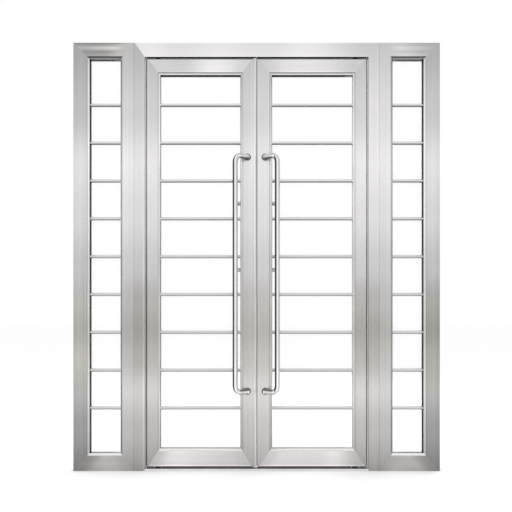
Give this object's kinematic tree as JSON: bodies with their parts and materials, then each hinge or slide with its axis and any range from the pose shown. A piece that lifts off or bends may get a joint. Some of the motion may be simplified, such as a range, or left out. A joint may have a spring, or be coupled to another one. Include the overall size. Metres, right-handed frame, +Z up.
{
  "type": "steel lobby double door with sidelights",
  "caption": "Double-leaf brushed stainless steel lobby door with narrow barred sidelights, clear panes, centre pivots and long offset pull handles.",
  "frame": {"origin": "on the floor under the threshold, in the middle of the doorway and of the frame's depth", "axes": "+X to the right seen from the front, the front faces -Y, +Z up"},
  "size_m": [2.14, 0.2531, 2.5],
  "materials": {
    "frame_steel": "hairline brushed stainless sheet",
    "leaf_steel": "hairline brushed stainless sheet",
    "bead_steel": "brushed folded bead",
    "bar_steel": "satin stainless tube",
    "pull_steel": "polished stainless tube",
    "threshold_steel": "brushed and walked on",
    "pivot_steel": "turned steel",
    "clear_glass": "clear float glass"
  },
  "bodies": {
    "frame": {"door_jamb_left": "frame_steel", "door_jamb_right": "frame_steel", "door_header": "frame_steel", "threshold": "threshold_steel", "left_sidelight_jamb": "frame_steel", "left_sidelight_stile": "frame_steel", "left_sidelight_top_rail": "frame_steel", "left_sidelight_bottom_rail": "frame_steel", "left_sidelight_side_beads": "bead_steel", "left_sidelight_cross_beads": "bead_steel", "left_sidelight_bars": "bar_steel", "left_sidelight_glass": "clear_glass", "right_sidelight_jamb": "frame_steel", "right_sidelight_stile": "frame_steel", "right_sidelight_top_rail": "frame_steel", "right_sidelight_bottom_rail": "frame_steel", "right_sidelight_side_beads": "bead_steel", "right_sidelight_cross_beads": "bead_steel", "right_sidelight_bars": "bar_steel", "right_sidelight_glass": "clear_glass", "top_pivots": "pivot_steel", "bottom_pivots": "pivot_steel"},
    "left_leaf": {"left_leaf_hinge_stile": "leaf_steel", "left_leaf_meeting_stile": "leaf_steel", "left_leaf_top_rail": "leaf_steel", "left_leaf_bottom_rail": "leaf_steel", "left_leaf_astragal": "leaf_steel", "left_leaf_side_beads": "bead_steel", "left_leaf_cross_beads": "bead_steel", "left_leaf_bars": "bar_steel", "left_leaf_glass": "clear_glass", "left_leaf_front_pull": "pull_steel", "left_leaf_inside_pull": "pull_steel", "left_leaf_pull_roses": "pull_steel"},
    "right_leaf": {"right_leaf_hinge_stile": "leaf_steel", "right_leaf_meeting_stile": "leaf_steel", "right_leaf_top_rail": "leaf_steel", "right_leaf_bottom_rail": "leaf_steel", "right_leaf_side_beads": "bead_steel", "right_leaf_cross_beads": "bead_steel", "right_leaf_bars": "bar_steel", "right_leaf_glass": "clear_glass", "right_leaf_front_pull": "pull_steel", "right_leaf_inside_pull": "pull_steel", "right_leaf_pull_roses": "pull_steel"}
  },
  "joints": [
    {"name": "left_leaf_swing", "type": "hinge", "parent": "frame", "child": "left_leaf", "pos_m": [-0.58, 0, 1.215], "axis": [0, 0, 1], "range_deg": [-90, 90]},
    {"name": "right_leaf_swing", "type": "hinge", "parent": "frame", "child": "right_leaf", "pos_m": [0.58, 0, 1.215], "axis": [0, 0, -1], "range_deg": [-90, 90]}
  ]
}
